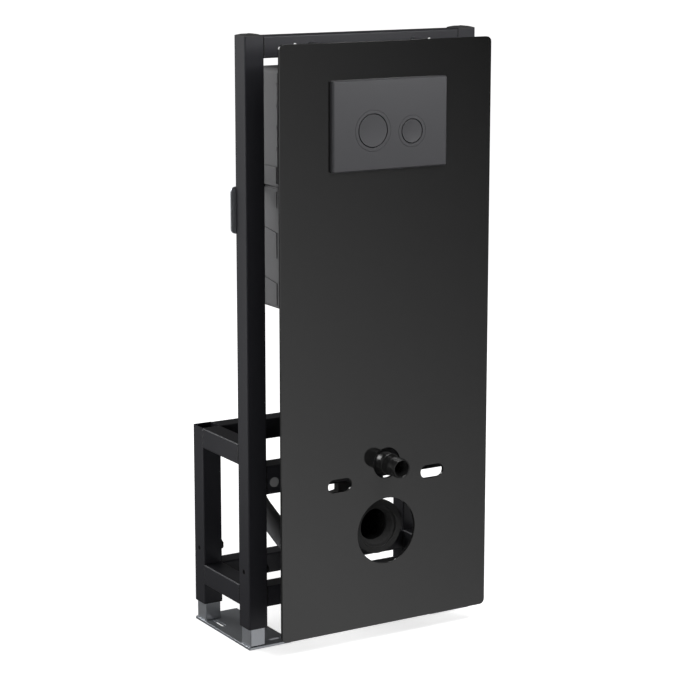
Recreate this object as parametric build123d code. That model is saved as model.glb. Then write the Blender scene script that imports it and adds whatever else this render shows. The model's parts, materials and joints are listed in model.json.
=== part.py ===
"""Floor-standing frame for a wall-hung toilet, with its glass front panel.

Millimetres. +X is to the right seen from the front, +Y goes back to the wall, +Z is up.
The origin is on the floor, in the middle of the part's width and depth.
"""
from build123d import *
import os
from math import radians, sin, tan

# Fits and cutting allowances
FIT_GAP = 0.3
CUT = 1.0

# Square steel tube of the frame
TUBE = 40.0
TUBE_WALL = 2.0
TUBE_CORNER = 3.0

# Overall frame
FRAME_WIDTH = 500.0
FRAME_DEPTH = 221.0
POST_BOTTOM = 40.0
POST_TOP = 1152.0
LOWER_BAR_BOTTOM = 80.0

# Depths are measured back from the front face of the posts, then shifted so that
# the middle of the whole part lies over the origin
PANEL_STANDOFF = 80.0
PANEL_THICK = 6.0
CONNECTOR_REACH = 52.0
FRONT_REACH = PANEL_STANDOFF + PANEL_THICK + CONNECTOR_REACH
POST_FRONT = (FRONT_REACH - FRAME_DEPTH) / 2

# Water heights: the studs and the waste are set out from the flush inlet
FLUSH_HEIGHT = 352.0
FLUSH_TO_WASTE = 132.0
FLUSH_TO_STUDS = 30.0
WASTE_HEIGHT = FLUSH_HEIGHT - FLUSH_TO_WASTE
STUD_HEIGHT = FLUSH_HEIGHT - FLUSH_TO_STUDS

# Top crossbar, an open channel with two wall-rod holes
CHANNEL_LIP = 9.0
WALL_HOLE_SPACING = 291.0
WALL_HOLE_DIA = 10.4

# Middle crossbar, which takes the toilet's studs
MID_BAR_RISE = 32.0
MID_BAR_TOP = STUD_HEIGHT + MID_BAR_RISE
MID_BAR_HEIGHT = 55.0
MID_BAR_DEPTH = 44.0
MID_BAR_WALL = 3.0
MID_BAR_CORNER = 4.0
REAR_LEG_TOP = MID_BAR_TOP + TUBE
STUD_SPACINGS = (180.0, 230.0)
STUD_HOLE_DIA = 12.5
PLUG_DIA = 19.0
PLUG_STEM_DIA = 14.4
PLUG_INSET = 15.3
PLUG_PROUD = 1.0
PLUG_DEPTH = 10.0

# Caps on the posts, each a low pyramid with a nub
CAP_FLANGE = 1.2
CAP_CROWN = 2.6
CAP_SLOPE = 75.0
CAP_NUB_DIA = 5.0
CAP_NUB_RISE = 0.9
CAP_SKIRT = 12.0
CAP_SKIRT_WALL = 1.5

# Foot slides and base plates
FOOT_TUBE = 34.0
FOOT_WALL = 2.5
FOOT_BELOW_LEG_TOP = 59.0
FOOT_TOP = REAR_LEG_TOP - FOOT_BELOW_LEG_TOP
BASE_WIDTH = 92.0
BASE_THICK = 5.0
BASE_CORNER = 2.0
BASE_SLOT_WIDTH = 9.0
BASE_SLOT_LENGTH = 28.0
BASE_REAR_SLOT_LENGTH = 40.0
BASE_FRONT_SLOT_X = 69.0
BASE_FRONT_SLOT_Y = 25.0
BASE_REAR_SLOT_X = 20.0
BASE_REAR_SLOT_Y = 157.0

# Lock bolts that clamp the foot slides
LOCK_HEIGHT = 150.0
LOCK_SHANK_DIA = 8.0
LOCK_HEAD_ACROSS = 18.0
LOCK_HEAD_THICK = 6.0
LOCK_NUT_ACROSS = 16.0
LOCK_NUT_THICK = 3.0
SIDE_HOLE_DIA = 9.0

# Cistern shells, hung below the top of the posts
CISTERN_WIDTH = 332.0
CISTERN_FRONT = 20.0
CISTERN_DEPTH = 98.0
CISTERN_DROP = 62.0
CISTERN_TOP = POST_TOP - CISTERN_DROP
UPPER_SHELL = 219.0
LOWER_SHELL = 229.0
CISTERN_SPLIT = CISTERN_TOP - UPPER_SHELL
CISTERN_BOTTOM = CISTERN_SPLIT - LOWER_SHELL
CISTERN_WALL = 3.0
CISTERN_CORNER = 14.0
CISTERN_ROUND = 8.0
CISTERN_STEP = 3.0
CISTERN_RIM = 2.0
CISTERN_RIM_HEIGHT = 5.0
CISTERN_GROOVE = 5.0
SIDE_FIELD_FRONT = -35.0
SIDE_BAND_REAR = 12.0
SIDE_BAND_LOW = 56.5
SIDE_BAND_PITCH = 47.5
SIDE_BAND_SLOPE = 8.6
SIDE_BAND_PROUD = 2.0
UPPER_BAND_TOP = 38.0
SIDE_PAD_REAR = 9.0
SIDE_PAD_DROP = 10.0
SIDE_PAD_CORNERS = (38.0, 6.0)
SIDE_RUNG_COUNT = 4
SIDE_RUNG_PITCH = 39.2
SIDE_RUNG_DROP = 29.5
SIDE_RUNG_REAR = -18.0
SIDE_RUNG_HEIGHT = 5.0
SIDE_RUNG_PROUD = 1.2
BACK_RIB_COUNT = 5
BACK_RIB_SPACING = 56.0
BACK_RIB_WIDTH = 4.0
BACK_RIB_PROUD = 3.0

# Wall plates behind the posts, and the hooks on them that carry the cistern
WALL_PLATE_PROUD = 9.0
WALL_PLATE_WIDTH = 64.0
WALL_PLATE_HEIGHT = 87.0
WALL_PLATE_THICK = 3.0
WALL_PLATE_CORNER = 10.0
WALL_PLATE_DROP = 80.0
HOOK_TONGUE = 4.0
HOOK_ARM = 55.0
HOOK_DEPTH = 20.0
HOOK_FOLD = 4.0
HOOK_LEG_WIDTH = 14.0
HOOK_LEG = 34.0

# Flush pipe with its coupling nut and its socket
FLUSH_DIA = 45.0
FLUSH_WALL = 2.5
FLUSH_SETBACK = CISTERN_FRONT + CISTERN_DEPTH / 2
FLUSH_BEND = 42.0
FLUSH_REACH = 20.0
FLUSH_CLEAR = 2.0
FLUSH_SOCKET_WALL = 6.7
FLUSH_SOCKET_LENGTH = 26.0
FLUSH_NUT_DIA = 68.0
FLUSH_NUT_HEIGHT = 22.0

# Flush connector through the panel, and the rubber seal behind the panel
CONNECTOR_DIA = 36.0
CONNECTOR_WALL = 3.0
CONNECTOR_STEP = 1.5
CONNECTOR_STEP_DEPTH = 26.0
CONNECTOR_SLEEVE = 3.0
SLEEVE_DIA = CONNECTOR_DIA + 2 * CONNECTOR_SLEEVE
SLEEVE_PROUD = 13.0
SLEEVE_BACK = 4.0
SEAL_THICK = 8.0
SEAL_ROUND = 1.5
FLUSH_HOLE_CLEAR = 8.3

# Waste bend, its collar and its hanger
WASTE_DIA = 90.0
WASTE_WALL = 3.0
WASTE_BEND = 75.0
WASTE_REAR_GAP = 4.0
WASTE_LEG_Y = FRAME_DEPTH - TUBE - WASTE_REAR_GAP - WASTE_DIA / 2
WASTE_DROP = 182.0
WASTE_END = WASTE_HEIGHT - WASTE_DROP
SPIGOT_LENGTH = 45.0
SPIGOT_BEAD = 4.0
SPIGOT_BEAD_PROUD = 2.5
COLLAR_FRONT = -57.0
COLLAR_WALL = 7.5
COLLAR_DIA = WASTE_DIA + 2 * COLLAR_WALL
COLLAR_FLANGE = 10.0
COLLAR_WAIST = 30.0
COLLAR_TAPER = 5.0
COLLAR_SHRINK = 1.0
COLLAR_LENGTH = 62.0
MOUTH_DIA = 82.6
MOUTH_DEPTH = 6.0
LIP_DIA = 72.0
LIP_END_DIA = 60.0
LIP_REACH = 20.0
LIP_THICK = 2.5
WASTE_HOLE_CLEAR = 11.0
SOCKET_SLACK = 0.5
SOCKET_DEPTH = 42.0
STOP_THICK = 4.0
STOP_PROUD = 2.0
CLAMP_FRONT = 6.0
CLAMP_THICK = 5.0
CLAMP_DEPTH = 16.0

# Grey side inlet that runs down into the foot of the waste bend
INLET_DIA = 40.0
INLET_WALL = 2.0
INLET_INSET = 40.0
INLET_DROP = 8.0
INLET_TOP = REAR_LEG_TOP - INLET_DROP
INLET_JOIN_DROP = 103.0
INLET_LOW_REACH = 48.0
INLET_LOW_ANGLE = 55.0
INLET_ANGLE = 36.0
INLET_BENDS = (60.0, 120.0)
INLET_SINK = 4.0
INLET_CLIP_HEIGHT = 14.0
INLET_CLIP_THICK = 3.0

# Glass front panel and the round spacers that carry it
PANEL_INSET = 22.5
PANEL_WIDTH = FRAME_WIDTH - 2 * PANEL_INSET
PANEL_BOTTOM = 36.0
PANEL_DROP = 10.0
PANEL_TOP = POST_TOP - PANEL_DROP
PANEL_CORNER = 10.0
SLOT_LENGTH = 51.0
SLOT_HEIGHT = 25.0
SLOT_SPACING = 205.0
SPACER_DIA = 22.0
SPACER_FLANGE = 6.0
SPACER_INSET = 30.0
TOP_SPACER_DIA = 12.0
TOP_SPACER_FLANGE = 2.0
TOP_SPACER_X = 110.0
SPACER_PAD = 4.0

# Flush plate, with its two round buttons
PLATE_DROP = 99.0
PLATE_MID = CISTERN_TOP - PLATE_DROP
PLATE_WIDTH = 246.0
PLATE_HEIGHT = 166.0
PLATE_PROUD = 10.0
PLATE_SKIN = 2.5
PLATE_RETURN = 6.0
PLATE_CORNER = 4.0
PLATE_BEVEL = 2.5
BUTTON_GAP = 1.6
BUTTON_THICK = 5.0
BUTTON_DISH = 1.2
BUTTON_GUIDE = 3.0
PUSH_ROD_DIA = 8.0
PUSH_ROD_LENGTH = 40.0
PUSH_ROD_CLEAR = 0.75
LARGE_BUTTON = (-38.4, PLATE_MID - 10.0, 59.4)
SMALL_BUTTON = (45.8, PLATE_MID - 15.0, 43.0)

# Shaft from the panel to the cistern, and the carrier in it
SHAFT_WIDTH = 204.0
SHAFT_HEIGHT = 124.0
SHAFT_GAP = 1.0
SHAFT_WALL = 3.0
WINDOW_MARGIN = 10.0
CARRIER_SETBACK = 12.0
CARRIER_THICK = 4.0

HALF = FRAME_WIDTH / 2
PANEL_FRONT = -PANEL_STANDOFF - PANEL_THICK
LEAST_INNER_CORNER = 0.6
SIDES = {"left": -1, "right": 1}


def at_depth(y):
    """Depth behind the posts' front face, as a place along Y."""
    return POST_FRONT + y


def tube_ring(width, height, wall, corner):
    outer = RectangleRounded(width, height, corner)
    inner = RectangleRounded(width - 2 * wall, height - 2 * wall, max(corner - wall, LEAST_INNER_CORNER))
    return outer - inner


def bar_along(axis, section, low, high):
    """A section pushed along one axis from low to high."""
    planes = {
        "x": Plane(origin=(low, 0, 0), x_dir=(0, 1, 0), z_dir=(1, 0, 0)),
        "y": Plane(origin=(0, low, 0), x_dir=(1, 0, 0), z_dir=(0, 1, 0)),
        "z": Plane(origin=(0, 0, low)),
    }
    return extrude(planes[axis] * section, high - low)


def rod_along_x(x_low, x_high, y, z, diameter):
    rod = Rot(0, 90, 0) * Cylinder(diameter / 2, x_high - x_low)
    return Pos((x_low + x_high) / 2, y, z) * rod


def rod_along_y(y_low, y_high, x, z, diameter):
    rod = Rot(90, 0, 0) * Cylinder(diameter / 2, y_high - y_low)
    return Pos(x, (y_low + y_high) / 2, z) * rod


def block(x_low, x_high, y_low, y_high, z_low, z_high):
    solid = Box(x_high - x_low, y_high - y_low, z_high - z_low)
    return Pos((x_low + x_high) / 2, (y_low + y_high) / 2, (z_low + z_high) / 2) * solid


def turned(profile, y_start, z):
    """Revolves (distance behind y_start, radius) points about a line along Y."""
    face = make_face(Polyline(*[(r, y, 0) for y, r in profile], close=True))
    return Pos(0, y_start, z) * revolve(face, Axis.Y)


# Frame steelwork

def upright(side, y_mid, top):
    """A post or rear leg, with the side hole and the lock bolt's hole."""
    section = tube_ring(TUBE, TUBE, TUBE_WALL, TUBE_CORNER)
    body = Pos(side * (HALF - TUBE / 2), y_mid, 0) * bar_along("z", section, POST_BOTTOM, top)
    reach = TUBE_WALL + CUT
    outer = side * HALF
    inner = side * (HALF - TUBE)
    body -= rod_along_x(outer - reach, outer + reach, y_mid, LOCK_HEIGHT, SIDE_HOLE_DIA)
    body -= rod_along_x(inner - reach, inner + reach, y_mid, LOCK_HEIGHT, LOCK_SHANK_DIA)
    return body


def crossbar(y_mid, z_mid):
    section = tube_ring(TUBE, TUBE, TUBE_WALL, TUBE_CORNER)
    inside = HALF - TUBE
    return Pos(0, y_mid, z_mid) * bar_along("x", section, -inside, inside)


def side_arm(side, z_mid):
    section = tube_ring(TUBE, TUBE, TUBE_WALL, TUBE_CORNER)
    front = at_depth(TUBE)
    back = at_depth(FRAME_DEPTH - TUBE)
    return Pos(side * (HALF - TUBE / 2), 0, z_mid) * bar_along("y", section, front, back)


def top_crossbar():
    """A lipped channel, open to the back, so its two holes show daylight."""
    inside = HALF - TUBE
    z_mid = POST_TOP - TUBE / 2
    outline = tube_ring(TUBE, TUBE, TUBE_WALL, TUBE_CORNER)
    mouth = Pos(TUBE / 2, 0) * Rectangle(TUBE, TUBE - 2 * CHANNEL_LIP)
    bar = Pos(0, at_depth(TUBE / 2), z_mid) * bar_along("x", outline - mouth, -inside, inside)
    for sign in (-1, 1):
        bar -= rod_along_y(at_depth(-CUT), at_depth(TUBE_WALL + CUT),
                           sign * WALL_HOLE_SPACING / 2, z_mid, WALL_HOLE_DIA)
    return bar


def mid_crossbar():
    """Deep crossbar with the stud holes and a notch that the flush pipe lies in."""
    inside = HALF - TUBE
    front = at_depth(-CUT)
    back = at_depth(MID_BAR_DEPTH + CUT)
    section = tube_ring(MID_BAR_DEPTH, MID_BAR_HEIGHT, MID_BAR_WALL, MID_BAR_CORNER)
    bar = bar_along("x", section, -inside, inside)
    bar = Pos(0, at_depth(MID_BAR_DEPTH / 2), MID_BAR_TOP - MID_BAR_HEIGHT / 2) * bar
    notch = FLUSH_DIA + 2 * FLUSH_CLEAR
    bar -= rod_along_y(front, back, 0, FLUSH_HEIGHT, notch)
    bar -= block(-notch / 2, notch / 2, front, back, FLUSH_HEIGHT, FLUSH_HEIGHT + MID_BAR_HEIGHT)
    for spacing in STUD_SPACINGS:
        for sign in (-1, 1):
            bar -= rod_along_y(front, back, sign * spacing / 2, STUD_HEIGHT, STUD_HOLE_DIA)
    for side in SIDES.values():
        bar -= rod_along_y(front, at_depth(MID_BAR_WALL + CUT), plug_x(side), STUD_HEIGHT,
                           PLUG_STEM_DIA + 2 * FIT_GAP)
    return bar


def plug_x(side):
    return side * (HALF - TUBE - PLUG_INSET)


def stud_plug(side):
    """A grey button plug pressed into a spare hole of the middle crossbar."""
    head = rod_along_y(at_depth(-PLUG_PROUD), at_depth(0), plug_x(side), STUD_HEIGHT, PLUG_DIA)
    stem = rod_along_y(at_depth(0), at_depth(PLUG_DEPTH), plug_x(side), STUD_HEIGHT, PLUG_STEM_DIA)
    return head + stem


def post_cap(side):
    """A low pyramid cap with a small nub, plugged into the post."""
    square = RectangleRounded(TUBE, TUBE, TUBE_CORNER)
    flange = extrude(square, CAP_FLANGE)
    crown = Pos(0, 0, CAP_FLANGE) * extrude(square, CAP_CROWN, taper=CAP_SLOPE)
    crown_top = CAP_FLANGE + CAP_CROWN
    nub = Pos(0, 0, crown_top) * Cylinder(CAP_NUB_DIA / 2, 2 * CAP_NUB_RISE)
    opening = TUBE - 2 * TUBE_WALL - 2 * FIT_GAP
    ring = tube_ring(opening, opening, CAP_SKIRT_WALL, TUBE_CORNER - TUBE_WALL + CAP_SKIRT_WALL)
    skirt = Pos(0, 0, -CAP_SKIRT) * extrude(ring, CAP_SKIRT)
    place = Pos(side * (HALF - TUBE / 2), at_depth(TUBE / 2), POST_TOP)
    return place * (flange + crown + nub + skirt)


def wall_plate(side):
    """A galvanised plate on the back of a post, standing past its outer side."""
    x_mid = side * (HALF + WALL_PLATE_PROUD - WALL_PLATE_WIDTH / 2)
    z_mid = CISTERN_SPLIT - WALL_PLATE_DROP + WALL_PLATE_HEIGHT / 2
    sheet = RectangleRounded(WALL_PLATE_WIDTH, WALL_PLATE_HEIGHT, WALL_PLATE_CORNER)
    sheet = Rot(90, 0, 0) * extrude(sheet, WALL_PLATE_THICK)
    return Pos(x_mid, at_depth(TUBE + WALL_PLATE_THICK), z_mid) * sheet


# Feet

def base_plate(side):
    """Floor plate with one slot across and one slot running front to back."""
    cut_height = BASE_THICK + 2 * CUT
    plate = extrude(RectangleRounded(BASE_WIDTH, FRAME_DEPTH, BASE_CORNER), BASE_THICK)
    plate = Pos(side * (HALF - BASE_WIDTH / 2), at_depth(FRAME_DEPTH / 2), 0) * plate
    across = extrude(SlotOverall(BASE_SLOT_LENGTH, BASE_SLOT_WIDTH), cut_height)
    along = extrude(SlotOverall(BASE_REAR_SLOT_LENGTH, BASE_SLOT_WIDTH, rotation=90), cut_height)
    plate -= Pos(side * (HALF - BASE_FRONT_SLOT_X), at_depth(BASE_FRONT_SLOT_Y), -CUT) * across
    plate -= Pos(side * (HALF - BASE_REAR_SLOT_X), at_depth(BASE_REAR_SLOT_Y), -CUT) * along
    return plate


def foot_tube(side, y_mid):
    section = tube_ring(FOOT_TUBE, FOOT_TUBE, FOOT_WALL, TUBE_CORNER)
    tube = bar_along("z", section, BASE_THICK, FOOT_TOP)
    return Pos(side * (HALF - TUBE / 2), y_mid, 0) * tube


def lock_bolt(side, y_mid):
    """Hex-headed bolt and weld nut on the inner face of a post."""
    face = HALF - TUBE
    tip = HALF - TUBE / 2 - FOOT_TUBE / 2 - FIT_GAP
    head_face = face - LOCK_NUT_THICK
    shank = rod_along_x(head_face, tip, y_mid, LOCK_HEIGHT, LOCK_SHANK_DIA - 2 * FIT_GAP)
    nut = RegularPolygon(LOCK_NUT_ACROSS / 2, 6, major_radius=False)
    head = RegularPolygon(LOCK_HEAD_ACROSS / 2, 6, major_radius=False)
    inward = Rot(0, -90, 0)
    nut = Pos(face, y_mid, LOCK_HEIGHT) * inward * extrude(nut, LOCK_NUT_THICK)
    head = Pos(head_face, y_mid, LOCK_HEIGHT) * inward * extrude(head, LOCK_HEAD_THICK)
    bolt = shank + nut + head
    return bolt if side > 0 else mirror(bolt, Plane.YZ)


# Cistern

def shell_form(width, depth, height, corner, rounding, end):
    """A rounded box with one end rounded over: 0 for its bottom, -1 for its top."""
    form = extrude(RectangleRounded(width, depth, corner), height)
    return fillet(form.faces().sort_by(Axis.Z)[end].edges(), rounding)


def shell_rim():
    outline = RectangleRounded(CISTERN_WIDTH + 2 * CISTERN_RIM, CISTERN_DEPTH + 2 * CISTERN_RIM,
                               CISTERN_CORNER + CISTERN_RIM)
    return extrude(outline, CISTERN_RIM_HEIGHT)


def back_ribs(width, z_low, z_high):
    """Upright stiffening ribs across the back of a shell."""
    back = CISTERN_DEPTH / 2
    height = z_high - z_low
    rib = Box(BACK_RIB_WIDTH, BACK_RIB_PROUD + CISTERN_WALL / 2, height)
    y_mid = back + (BACK_RIB_PROUD - CISTERN_WALL / 2) / 2
    count = min(BACK_RIB_COUNT, int((width - 2 * CISTERN_CORNER) / BACK_RIB_SPACING) + 1)
    spots = GridLocations(BACK_RIB_SPACING, BACK_RIB_SPACING, count, 1)
    return [Pos(0, y_mid, z_low + height / 2) * spot * rib for spot in spots]


def both_sides(outline, x_start, proud):
    """An outline of (place along Y, height), raised on the left and the right side."""
    side_face = Plane(origin=(x_start, 0, 0), x_dir=(0, 1, 0), z_dir=(1, 0, 0))
    raised = extrude(side_face * outline, proud)
    return [raised, mirror(raised, Plane.YZ)]


def side_bands(height):
    """Raised bands on both sides of the lower shell, whose edges fall toward the front."""
    fall = (SIDE_BAND_REAR - SIDE_FIELD_FRONT) * tan(radians(SIDE_BAND_SLOPE))
    rims = [(CISTERN_ROUND, CISTERN_ROUND)]
    for step in range(4):
        level = SIDE_BAND_LOW + step * SIDE_BAND_PITCH
        rims.append((level, level - fall))
    top = height - CISTERN_GROOVE / 2
    rims.append((top, top))
    bands = []
    for low, high in zip(rims[::2], rims[1::2]):
        corners = [(SIDE_BAND_REAR, low[0]), (SIDE_BAND_REAR, high[0]), (SIDE_FIELD_FRONT, high[1]),
                   (SIDE_FIELD_FRONT, low[1])]
        outline = make_face(Polyline(*corners, close=True))
        bands += both_sides(outline, (CISTERN_WIDTH - CISTERN_WALL) / 2,
                            SIDE_BAND_PROUD + CISTERN_WALL / 2)
    return bands


def cistern_middle():
    return at_depth(CISTERN_FRONT + CISTERN_DEPTH / 2)


def cistern_lower():
    """The lower tank shell: an open box with a rim, raised side bands and upright back ribs."""
    height = CISTERN_SPLIT - CISTERN_BOTTOM
    shell = shell_form(CISTERN_WIDTH, CISTERN_DEPTH, height, CISTERN_CORNER, CISTERN_ROUND, 0)
    shell += Pos(0, 0, height - CISTERN_GROOVE / 2 - CISTERN_RIM_HEIGHT) * shell_rim()
    for band in side_bands(height):
        shell += band
    for rib in back_ribs(CISTERN_WIDTH, CISTERN_CORNER, height - CISTERN_RIM_HEIGHT):
        shell += rib
    inside = shell_form(CISTERN_WIDTH - 2 * CISTERN_WALL, CISTERN_DEPTH - 2 * CISTERN_WALL,
                        height, CISTERN_CORNER - CISTERN_WALL, CISTERN_ROUND - CISTERN_WALL, 0)
    shell -= Pos(0, 0, CISTERN_WALL) * inside
    shell -= Cylinder(FLUSH_DIA / 2, 2 * (CISTERN_WALL + CUT))
    return Pos(0, cistern_middle(), CISTERN_BOTTOM) * shell


def side_pads(width, height):
    """Raised fields on both sides of the upper shell, with short rungs and a band below."""
    start = (width - CISTERN_WALL) / 2
    low = UPPER_BAND_TOP
    top = height - SIDE_PAD_DROP
    large, small = SIDE_PAD_CORNERS
    field = Pos((SIDE_FIELD_FRONT + SIDE_PAD_REAR) / 2, (low + top) / 2)
    field *= Rectangle(SIDE_PAD_REAR - SIDE_FIELD_FRONT, top - low)
    rear = field.vertices().group_by(Axis.X)[-1].sort_by(Axis.Y)
    field = fillet(rear[-1], large)
    field = fillet(field.vertices().sort_by(lambda spot: spot.Y - spot.X)[0], small)
    pads = both_sides(field, start, SIDE_BAND_PROUD + CISTERN_WALL / 2)
    length = SIDE_RUNG_REAR - SIDE_FIELD_FRONT
    rung = SlotOverall(length, SIDE_RUNG_HEIGHT)
    for step in range(SIDE_RUNG_COUNT):
        z = height - SIDE_RUNG_DROP - step * SIDE_RUNG_PITCH
        spot = Pos(SIDE_RUNG_REAR - length / 2, z)
        pads += both_sides(spot * rung, start, SIDE_BAND_PROUD + CISTERN_WALL / 2 + SIDE_RUNG_PROUD)
    band_low = CISTERN_GROOVE / 2
    band = Pos((SIDE_FIELD_FRONT + SIDE_BAND_REAR) / 2, (band_low + low) / 2)
    band *= Rectangle(SIDE_BAND_REAR - SIDE_FIELD_FRONT, low - band_low)
    proud = CISTERN_WIDTH / 2 + CISTERN_RIM - start
    return pads + both_sides(band, start, proud)


def cistern_upper():
    """The upper tank shell, turned over onto the lower one, with its service window."""
    height = CISTERN_TOP - CISTERN_SPLIT
    width = CISTERN_WIDTH - 2 * CISTERN_STEP
    rounding = CISTERN_CORNER - CUT
    shell = shell_form(width, CISTERN_DEPTH, height, CISTERN_CORNER, rounding, -1)
    shell += Pos(0, 0, CISTERN_GROOVE / 2) * shell_rim()
    for pad in side_pads(width, height):
        shell += pad
    for rib in back_ribs(width, CISTERN_RIM_HEIGHT, height - CISTERN_CORNER):
        shell += rib
    inside = shell_form(width - 2 * CISTERN_WALL, CISTERN_DEPTH - 2 * CISTERN_WALL,
                        height - CISTERN_WALL, CISTERN_CORNER - CISTERN_WALL,
                        rounding - CISTERN_WALL, -1)
    shell -= inside
    half_w = SHAFT_WIDTH / 2 - WINDOW_MARGIN
    half_h = SHAFT_HEIGHT / 2 - WINDOW_MARGIN
    z_mid = PLATE_MID - CISTERN_SPLIT
    shell -= block(-half_w, half_w, -CISTERN_DEPTH, 0, z_mid - half_h, z_mid + half_h)
    return Pos(0, cistern_middle(), CISTERN_SPLIT) * shell


def cistern_hook(side):
    """A steel arm from the wall plate back to a tongue in the groove round the tank."""
    inner = HALF + WALL_PLATE_PROUD - WALL_PLATE_WIDTH
    outer = inner + HOOK_LEG_WIDTH
    top = CISTERN_SPLIT + HOOK_TONGUE / 2
    y_low = at_depth(TUBE + WALL_PLATE_THICK)
    y_high = y_low + HOOK_ARM
    arm = block(inner, outer, y_low, y_high, top - HOOK_TONGUE, top)
    tongue = block(CISTERN_WIDTH / 2, outer, y_high - HOOK_DEPTH, y_high, top - HOOK_TONGUE, top)
    leg = block(inner, outer, y_low, y_low + HOOK_FOLD, top - HOOK_LEG, top)
    hook = arm + tongue + leg
    return hook if side > 0 else mirror(hook, Plane.YZ)


# Flush pipe

def bend_pipe(points, bends, outer, wall):
    """A pipe swept along straight runs joined by round bends."""
    path = FilletPolyline(*points, radius=bends)
    start = Plane(origin=points[0], z_dir=(Vector(*points[1]) - Vector(*points[0])))
    ring = Circle(outer / 2) - Circle(outer / 2 - wall)
    return sweep(start * ring, path=path)


def flush_pipe():
    """Pipe from the tank to the connector, with its coupling nut and its front socket."""
    y_back = at_depth(FLUSH_SETBACK)
    front = at_depth(-FLUSH_REACH)
    points = [(0, y_back, CISTERN_BOTTOM), (0, y_back, FLUSH_HEIGHT), (0, front, FLUSH_HEIGHT)]
    pipe = bend_pipe(points, FLUSH_BEND, FLUSH_DIA, FLUSH_WALL)
    nut = Circle(FLUSH_NUT_DIA / 2) - Circle(FLUSH_DIA / 2 - FLUSH_WALL)
    nut = Pos(0, y_back, CISTERN_BOTTOM - FLUSH_NUT_HEIGHT) * extrude(nut, FLUSH_NUT_HEIGHT)
    bore = CONNECTOR_DIA / 2 + FIT_GAP
    socket = turned([(0, bore), (0, bore + FLUSH_SOCKET_WALL),
                     (FLUSH_SOCKET_LENGTH, bore + FLUSH_SOCKET_WALL),
                     (FLUSH_SOCKET_LENGTH + FLUSH_WALL, FLUSH_DIA / 2),
                     (FLUSH_SOCKET_LENGTH + FLUSH_WALL, FLUSH_DIA / 2 - FLUSH_WALL),
                     (FLUSH_SOCKET_LENGTH, FLUSH_DIA / 2 - FLUSH_WALL),
                     (FLUSH_SOCKET_LENGTH, bore)],
                    front - FLUSH_SOCKET_LENGTH, FLUSH_HEIGHT)
    return pipe + nut + socket


def flush_connector():
    """Stepped tube through the panel, with a sleeve in the panel's hole."""
    front = at_depth(PANEL_FRONT - CONNECTOR_REACH)
    back = at_depth(-FLUSH_REACH) - FIT_GAP
    length = back - front
    sleeve_low = CONNECTOR_REACH - SLEEVE_PROUD
    sleeve_high = CONNECTOR_REACH + PANEL_THICK + SLEEVE_BACK
    outer = CONNECTOR_DIA / 2
    bore = outer - CONNECTOR_WALL
    narrow = bore - CONNECTOR_STEP
    profile = [(0, bore), (0, outer), (sleeve_low, outer), (sleeve_low, SLEEVE_DIA / 2),
               (sleeve_high, SLEEVE_DIA / 2), (sleeve_high, outer), (length, outer),
               (length, narrow), (CONNECTOR_STEP_DEPTH, narrow), (CONNECTOR_STEP_DEPTH, bore)]
    return turned(profile, front, FLUSH_HEIGHT)


def flush_seal():
    """Rubber ring pushed onto the connector behind the panel."""
    y_low = at_depth(-PANEL_STANDOFF + SLEEVE_BACK) + FIT_GAP
    bore = CONNECTOR_DIA / 2 + FIT_GAP
    outer = bore + FLUSH_SOCKET_WALL
    ring = turned([(0, bore), (0, outer), (SEAL_THICK, outer), (SEAL_THICK, bore)], y_low, FLUSH_HEIGHT)
    rims = ring.edges().filter_by(GeomType.CIRCLE).filter_by(lambda edge: edge.radius > outer - CUT)
    return fillet(rims, SEAL_ROUND)


# Waste

def waste_bend():
    """Drain bend from the collar down to its spigot, with the bead above the spigot."""
    y_leg = at_depth(WASTE_LEG_Y)
    front = at_depth(COLLAR_FRONT + SOCKET_DEPTH + STOP_THICK) + FIT_GAP
    points = [(0, front, WASTE_HEIGHT), (0, y_leg, WASTE_HEIGHT), (0, y_leg, WASTE_END)]
    pipe = bend_pipe(points, WASTE_BEND, WASTE_DIA, WASTE_WALL)
    bead = Circle(WASTE_DIA / 2 + SPIGOT_BEAD_PROUD) - Circle(WASTE_DIA / 2 - WASTE_WALL)
    return pipe + Pos(0, y_leg, WASTE_END + SPIGOT_LENGTH) * extrude(bead, SPIGOT_BEAD)


def waste_collar():
    """Rubber collar: the toilet's outlet goes in at the front and the bend at the back.

    The profile runs round the outside to the back, in past the stop, and along the cone of
    the sealing lip, which closes on the toilet's outlet, to the mouth.
    """
    outer = COLLAR_DIA / 2
    pipe_bore = WASTE_DIA / 2 + FIT_GAP
    socket = WASTE_DIA / 2 + SOCKET_SLACK
    body = outer - COLLAR_WALL / 3
    waist = body - COLLAR_SHRINK
    stop = SOCKET_DEPTH + STOP_THICK
    profile = [(0, MOUTH_DIA / 2), (0, outer), (COLLAR_FLANGE, outer), (COLLAR_FLANGE, body),
               (COLLAR_WAIST, body), (COLLAR_WAIST + COLLAR_TAPER, waist),
               (COLLAR_LENGTH, waist), (COLLAR_LENGTH, pipe_bore), (stop, pipe_bore),
               (stop, socket - STOP_PROUD), (SOCKET_DEPTH, socket - STOP_PROUD),
               (SOCKET_DEPTH, socket), (MOUTH_DEPTH + LIP_THICK, socket),
               (MOUTH_DEPTH + LIP_THICK, LIP_DIA / 2 + LIP_THICK),
               (LIP_REACH, LIP_END_DIA / 2 + LIP_THICK), (LIP_REACH, LIP_END_DIA / 2),
               (MOUTH_DEPTH, LIP_DIA / 2), (MOUTH_DEPTH, MOUTH_DIA / 2)]
    return turned(profile, at_depth(COLLAR_FRONT), WASTE_HEIGHT)


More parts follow.
